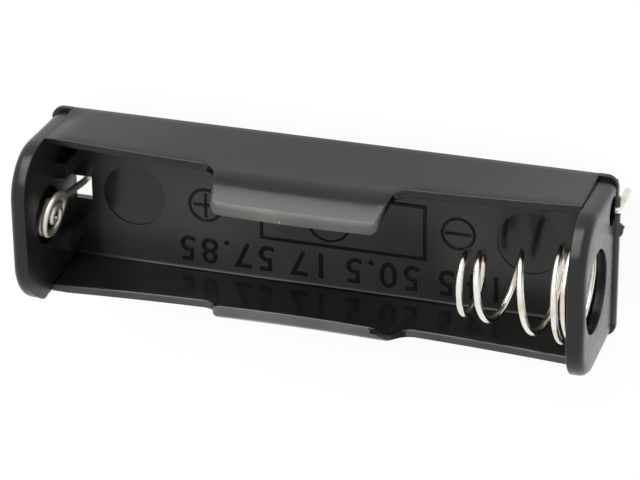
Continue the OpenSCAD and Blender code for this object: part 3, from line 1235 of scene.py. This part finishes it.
@dataclass
class FloorMarks:
    """Raised marks in the floor: plus and minus signs in rings, a framed field and plain numbers."""

    floor: float
    height: float = 0.12 * MM
    frame: Box2 = (-7.1 * MM, -2.9 * MM, 9.9 * MM, 3.0 * MM)
    minus: Point2 = (13.07 * MM, 0.44 * MM)
    plus: Point2 = (-12.7 * MM, -0.07 * MM)
    numbers: tuple[tuple[str, float, float], ...] = (
        ("14.5", 14.4, 1.05), ("50.5", 5.45, 1.2), ("17", -1.95, 1.15), ("57.85", -10.6, 1.2),
    )
    number_y: float = -4.85 * MM
    number_height: float = 2.7 * MM
    number_stroke: float = 0.2 * MM
    number_extrude: float = 0.03 * MM
    number_bevel: float = 0.05 * MM
    number_lift: float = 0.04 * MM
    cap_share: float = 0.7
    minus_ring: Point2 = (1.74 * MM, 0.27 * MM)
    plus_ring: Point2 = (1.81 * MM, 0.3 * MM)
    arm: float = 1.3 * MM
    frame_stroke: float = 0.33 * MM
    ejector: Point2 = (2.3 * MM, 2.06 * MM)

    def _plate(
        self, outline: list[Point2], holes: list[list[Point2]] | None = None, height: float | None = None,
        rounding: float = 0.1 * MM,
    ) -> RoundedPlate:
        """Thin raised plate on the floor with a rounded edge.

        Args:
            outline: Outline of the mark.
            holes: Holes in it.
            height: Height, or None for the marks' own.
            rounding: Rounding of the upper edge.

        Returns:
            The mark as a plate.
        """
        top, sunk = height or self.height, 0.05 * MM

        def place(x: float, y: float, depth: float) -> Vector:
            """Point of the mark, with its top as the outer skin."""
            return Vector((x, y, self.floor + top - depth * (top + sunk)))

        return RoundedPlate(
            outline, top + sunk, place, rounding, 0.01 * MM, holes or [],
            hole_round=rounding, spacing=3 * MM, round_steps=4,
        )

    def _bar(self, x: float, y: float, dx: float, dy: float) -> list[Point2]:
        """Corners of a rectangle round a middle."""
        return box((x - dx, x + dx), (y - dy, y + dy))

    def _ring(self, middle: Point2, outer: float, stroke: float) -> RoundedPlate:
        """Raised ring."""
        return self._plate(circle(middle, outer, 56), [circle(middle, outer - stroke, 56)])

    def _numbers(self) -> Object:
        """Plain raised numbers along the lower edge of the floor, to be read from the other side."""
        mesh = bmesh.new()
        for words, x, spread in self.numbers:
            text = bpy.data.curves.new("numbers", "FONT")
            text.body = words
            text.size = self.number_height / self.cap_share
            text.space_character = spread
            text.align_x, text.align_y = "CENTER", "CENTER"
            text.offset = -self.number_stroke / 6
            text.extrude = self.number_extrude
            text.bevel_depth = self.number_bevel
            text.bevel_resolution = 1
            text.resolution_u = 4
            carrier = new_object("numbers", text)
            solid = solid_of(carrier)
            bpy.data.objects.remove(carrier)
            spot = Matrix.Translation((x * MM, self.number_y, self.floor + self.number_lift))
            solid.transform(spot @ Matrix.Rotation(math.pi, 4, "Z"))
            mesh.from_mesh(solid)
            bpy.data.meshes.remove(solid)
        bmesh.ops.remove_doubles(mesh, verts=mesh.verts, dist=0.001 * MM)
        return finish_mesh(mesh, "floor_numbers")

    def build(self) -> list[Object]:
        """Builds the marks.

        Returns:
            The signs with the frame, and the numbers.
        """
        mesh = bmesh.new()
        self._ring(self.minus, *self.minus_ring).add_to(mesh)
        self._ring(self.plus, *self.plus_ring).add_to(mesh)
        self._plate(self._bar(*self.minus, self.arm, 0.14 * MM)).add_to(mesh)
        self._plate(self._bar(*self.plus, self.arm, 0.15 * MM)).add_to(mesh)
        for side in (-1, 1):
            arm = self._bar(self.plus[0], self.plus[1] + side * 0.73 * MM, 0.15 * MM, 0.57 * MM)
            self._plate(arm).add_to(mesh)
        low_x, low_y, high_x, high_y = self.frame
        middle = (low_x + high_x) / 2, (low_y + high_y) / 2
        half = (high_x - low_x) / 2, (high_y - low_y) / 2
        hole = self._bar(*middle, half[0] - self.frame_stroke, half[1] - self.frame_stroke)
        self._plate(self._bar(*middle, *half), [hole]).add_to(mesh)
        outer, inner = (circle((0, 0), radius, 56) for radius in self.ejector)
        self._plate(outer, [inner], height=0.05 * MM, rounding=0.04 * MM).add_to(mesh)
        signs = finish_mesh(mesh, "floor_marks")
        smooth_by_angle(signs, 40)
        return [signs, self._numbers()]


# ---- the stage


@dataclass
class Stage:
    """Floor, lamps, world and camera."""

    floor_z: float
    lens: float = 178.77
    distance: float = 305.21 * MM
    azimuth: float = 18.0623
    elevation: float = 26.4836
    roll: float = -0.5653
    target: tuple[float, float, float] = (0.463 * MM, 0.007 * MM, 5.0 * MM)

    def add_camera(self) -> None:
        """Looks down into the open side, somewhat from +Y and a little from the coiled end."""
        az, el = math.radians(self.azimuth), math.radians(self.elevation)
        back = Vector((math.sin(az) * math.cos(el), math.sin(el), math.cos(az) * math.cos(el)))
        right = Vector((0, 1, 0)).cross(back).normalized()
        turn = Quaternion(back, math.radians(self.roll))
        right = turn @ right
        up = back.cross(right)
        camera = bpy.data.cameras.new("camera")
        camera.lens = self.lens
        camera.sensor_width = 36
        camera.clip_start = 0.01
        eye = new_object("camera", camera)
        eye.matrix_world = Matrix.Translation(Vector(self.target) + back * self.distance) @ Matrix(
            (right, up, back)
        ).transposed().to_4x4()
        bpy.context.scene.camera = eye

    def add_floor(self, finish: PaleCard) -> Object:
        """Lays the floor under the pins.

        Args:
            finish: Finish of the floor.

        Returns:
            The floor object.
        """
        mesh = bmesh.new()
        bmesh.ops.create_circle(mesh, cap_ends=True, segments=64, radius=1.5)
        floor = finish_mesh(mesh, "stage_floor")
        floor.data.transform(Matrix.Translation((0, 0, self.floor_z)))
        floor.data.materials.append(finish.build())
        return floor

    def add_lamp(
        self, name: str, aim: tuple[float, float, float], distance: float, size: float, power: float
    ) -> None:
        """Hangs a soft square lamp that faces the object.

        Args:
            name: Name of the lamp.
            aim: Direction from the object to the lamp.
            distance: Distance of the lamp.
            size: Side of the square.
            power: Power in watts.
        """
        data = bpy.data.lights.new(name, "AREA")
        data.size = size
        data.energy = power
        lamp = new_object(name, data)
        direction = Vector(aim).normalized()
        lamp.location = direction * distance
        lamp.rotation_euler = direction.to_track_quat("Z", "Y").to_euler()

    def add_world(self, strength: float) -> None:
        """Surrounds everything with an even pale light.

        Args:
            strength: Strength of the light.
        """
        world = bpy.data.worlds.new("studio")
        world.use_nodes = True
        world.node_tree.nodes["Background"].inputs["Color"].default_value = (1, 1, 1, 1)
        world.node_tree.nodes["Background"].inputs["Strength"].default_value = strength
        bpy.context.scene.world = world


def case_finishes() -> dict[Zone, Material]:
    """Finishes of the moulding: polished and rough tool faces, clip tips with a wear tone and painted sheen,
    a painted cool tint on the long sides, a painted highlight on the lower rim, and a floor with a painted
    sheen along X, lighter in the middle and darker towards the ends.

    Returns:
        The material of each zone.
    """
    # Wear tone and painted sheen on the clips' upper part: lighter towards the top, matched to the lit band
    # below it.
    wear_and_sheen_top = Fade("Z", ((9.9 * MM, 0.0), (11.4 * MM, 0.75), (12 * MM, 1.0)), (0.04, 0.037, 0.0345), 0.42)
    # Painted sheen on the floor: its own lighter tone in the middle, mixed darker towards both ends, standing
    # in for a broad reflection.
    shares = (-24.4, 1.0), (-23.2, 0.7), (-12, 0.5), (-6, 0.0), (3, 0.1), (10, 0.75), (26, 0.85)
    painted_sheen_along_x = Fade("X", tuple((x * MM, share) for x, share in shares), (0.006, 0.0058, 0.0052), 0.25)
    # Painted cool reflection: a bluish tint on the long outer faces and the clips.
    side = MouldedPlastic(
        "side_plastic", (0.0015, 0.0021, 0.003), (0.0035, 0.0045, 0.006), roughness=(0.1, 0.16), index=1.43,
    )
    finishes = {
        Zone.OUTSIDE: MouldedPlastic("outside_plastic", BLACK, SOFT_BLACK, index=1.42),
        Zone.SIDE: side,
        Zone.CLIP: replace(side, name="clip_plastic", fade=wear_and_sheen_top),
        # Clip tips: wear tone and painted sheen, made lighter to match the lit band below them.
        Zone.CLIP_TIP: MouldedPlastic(
            "worn_sheen_plastic", (0.045, 0.042, 0.039), (0.1, 0.096, 0.09), roughness=(0.45, 0.6), speck_share=0.2,
        ),
        Zone.CLIP_ROOT: MouldedPlastic("root_plastic", BLACK, SOFT_BLACK, roughness=(0.4, 0.5), index=1.2),
        Zone.LEDGE: MouldedPlastic("ledge_plastic", (0.05, 0.047, 0.043), (0.08, 0.075, 0.07)),
        # Painted highlight: a lighter top on the -Y rim only.
        Zone.LOWER_RIM: MouldedPlastic(
            "rim_plastic", (0.022, 0.0208, 0.019), (0.045, 0.0425, 0.039), roughness=(0.3, 0.4),
        ),
        Zone.END: MouldedPlastic("end_plastic", (0.011, 0.011, 0.0105), (0.017, 0.017, 0.016)),
        Zone.INSIDE: MouldedPlastic(
            "inside_plastic", (0.006, 0.006, 0.0055), (0.011, 0.011, 0.0103), roughness=(0.16, 0.22),
            flow_bump=0.02,
        ),
        Zone.END_INSIDE: MouldedPlastic("end_inside_plastic", BLACK, SOFT_BLACK, roughness=(0.36, 0.5)),
        Zone.FLOOR: MouldedPlastic(
            "floor_plastic", (0.026, 0.025, 0.0232), (0.047, 0.0455, 0.0425), roughness=(0.5, 0.6),
            ripple_bump=0.02, fade=painted_sheen_along_x,
        ),
        Zone.POLISHED: MouldedPlastic(
            "polished_plastic", (0.004, 0.0039, 0.0035), (0.008, 0.0078, 0.0072), roughness=(0.12, 0.2),
            index=1.45, flow_bump=0.01,
        ),
    }
    return {zone: finish.build() for zone, finish in finishes.items()}


def main() -> None:
    """Builds the holder around its frame, dresses it and sets the stage."""
    logging.basicConfig(level=logging.INFO, format="%(name)s: %(message)s")
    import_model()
    cad_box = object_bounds()
    scene = bpy.context.scene
    scene.view_settings.view_transform = "Standard"

    sizes = MouldedCase()
    case = sizes.build()
    sizes.dress(case, case_finishes())
    marks = FloorMarks(sizes.floor).build()
    mark_finish = MouldedPlastic("mark_plastic", BLACK, SOFT_BLACK, roughness=(0.1, 0.14), index=1.25).build()
    for piece in marks:
        piece.data.materials.clear()
        piece.data.materials.append(mark_finish)
    for piece in [case, *marks]:
        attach(piece, "holder")
    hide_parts("case")

    coil_finish = wire_tree(NickelWire("bright_nickel").build())
    button_finish = wire_tree(
        NickelWire("soft_nickel", (0.72, 0.69, 0.61), (0.58, 0.51, 0.39), (0.42, 0.52)).build()
    )
    coiled = CoiledContact(seat_x=sizes.end_inner + sizes.seat_depth - 0.38 * MM)
    coil = sweep_wire("coil", coiled.coil_path(), coiled.wire.radius, coil_finish)
    tail = sweep_wire("coil_tail", coiled.tail_path(), coiled.wire.radius, coil_finish)
    button = sweep_wire("button_contact", ButtonContact().path(), coiled.wire.radius, button_finish)
    for piece in (coil, tail, button):
        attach(piece, "holder")
    for piece in (coil, tail):
        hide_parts("negative_spring")
    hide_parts("positive_contact")
    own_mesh(coil)

    stage = Stage(floor_z=cad_box[0][2])
    stage.add_camera()
    stage.add_floor(PaleCard())
    stage.add_world(1.0)
    stage.add_lamp("overhead", (-0.2, 0.97, -0.03), 0.4, 0.36, 1.7)
    stage.add_lamp("front", (-0.15, 0.75, 0.62), 0.5, 0.36, 1.45)

    for piece in (case, *marks, coil, tail, button):
        log.info("%s: %d faces", piece.name, len(piece.data.polygons))


if __name__ == "__main__":
    main()
